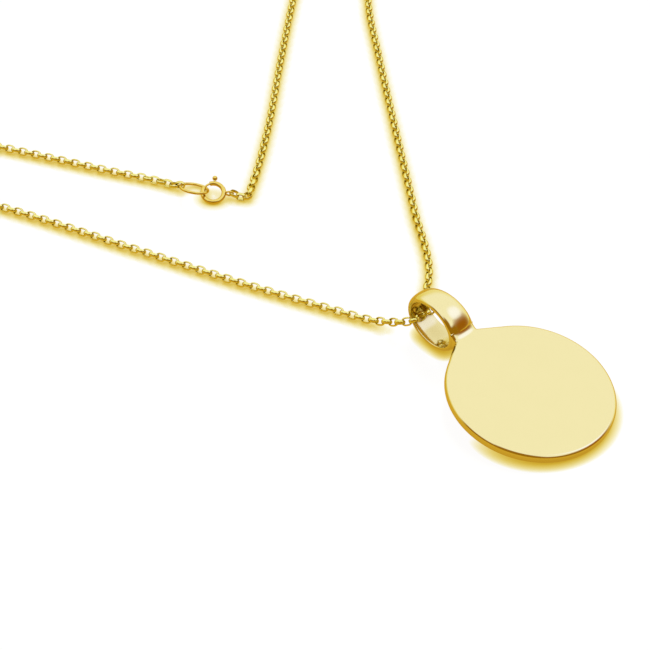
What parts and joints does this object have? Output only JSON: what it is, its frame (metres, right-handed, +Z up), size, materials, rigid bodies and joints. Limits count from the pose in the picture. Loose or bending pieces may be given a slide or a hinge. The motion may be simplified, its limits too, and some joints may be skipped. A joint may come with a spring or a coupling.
{
  "type": "round disc pendant necklace",
  "caption": "Plain polished round disc pendant on a wide oval bail, threaded on a fine belcher chain that closes with a jump ring and a sprung bolt-ring clasp, laid flat.",
  "frame": {"origin": "the middle of the laid necklace's box, on the surface that it rests on", "axes": "+Z up from the surface, -Y the way the pendant points from its bail"},
  "size_m": [0.1396, 0.1569, 0.0099],
  "materials": {
    "polished_gold": "polished gold plate",
    "chain_gold": "polished gold plate on fine links",
    "clasp_gold": "polished gold plate"
  },
  "bodies": {
    "necklace": {"pendant": "polished_gold", "chain": "chain_gold", "jump_ring": "clasp_gold", "clasp_ring": "clasp_gold"},
    "bolt": {"clasp_bolt": "clasp_gold"}
  },
  "joints": [
    {"name": "bolt_turn", "type": "hinge", "parent": "necklace", "child": "bolt", "pos_m": [-0.0222, 0.0157, 0.00123], "axis": [0.2695, 0.2602, -0.9272], "range_deg": [0, 48], "stiffness_Nm_per_rad": 0.000004, "springref_deg": -5.73}
  ]
}
